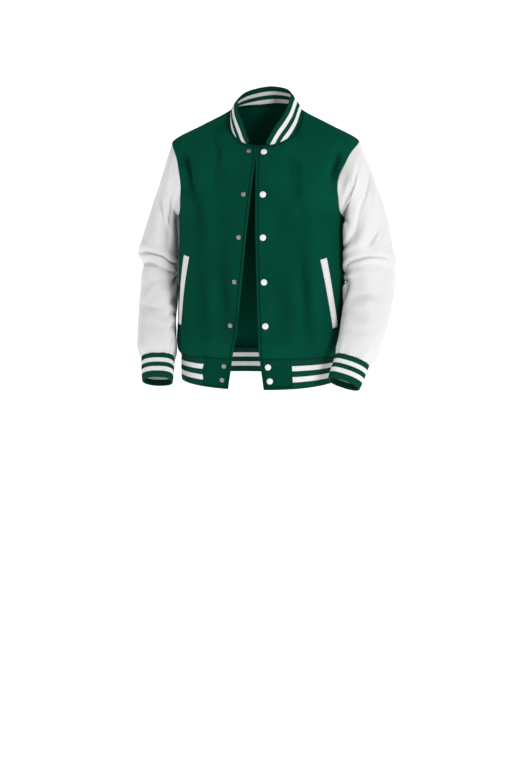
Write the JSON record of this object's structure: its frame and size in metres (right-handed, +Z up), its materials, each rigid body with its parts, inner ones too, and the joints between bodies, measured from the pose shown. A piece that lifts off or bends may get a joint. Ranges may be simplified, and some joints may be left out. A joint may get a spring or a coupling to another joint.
{
  "type": "varsity jacket",
  "caption": "Hollow varsity jacket in its worn shape, open down the front: wool body, leather sleeves, striped rib collar, cuffs and hem, and press snaps.",
  "frame": {"origin": "middle of the neck, level with the inner ends of the shoulder seams, where the wearer holds the jacket up", "axes": "+Z up, the front faces -Y, the wearer's left is +X"},
  "size_m": [0.6606, 0.3026, 0.754],
  "materials": {
    "wool": "matt felted wool, dark green",
    "sleeve_leather": "soft semi-matt, off-white",
    "rib_knit": "rib knit, green with white stripes",
    "snap_white": "smooth enamelled cap, white",
    "stud_metal": "dull nickel"
  },
  "bodies": {
    "root": {"front_right": "wool", "front_left": "wool", "back": "wool", "hem_block_right": "wool", "hem_block_left": "wool", "sleeve_right": "sleeve_leather", "sleeve_left": "sleeve_leather", "pocket_welt_right": "sleeve_leather", "pocket_welt_left": "sleeve_leather", "collar_rib": "rib_knit", "hem_rib": "rib_knit", "cuff_right": "rib_knit", "cuff_left": "rib_knit", "snap_cap_1": "snap_white", "snap_stud_1": "stud_metal", "snap_cap_2": "snap_white", "snap_stud_2": "stud_metal", "snap_cap_3": "snap_white", "snap_stud_3": "stud_metal", "snap_cap_4": "snap_white", "snap_stud_4": "stud_metal", "snap_cap_5": "snap_white", "snap_stud_5": "stud_metal", "snap_cap_6": "snap_white", "snap_stud_6": "stud_metal", "snap_cap_7": "snap_white", "snap_stud_7": "stud_metal"}
  },
  "joints": []
}
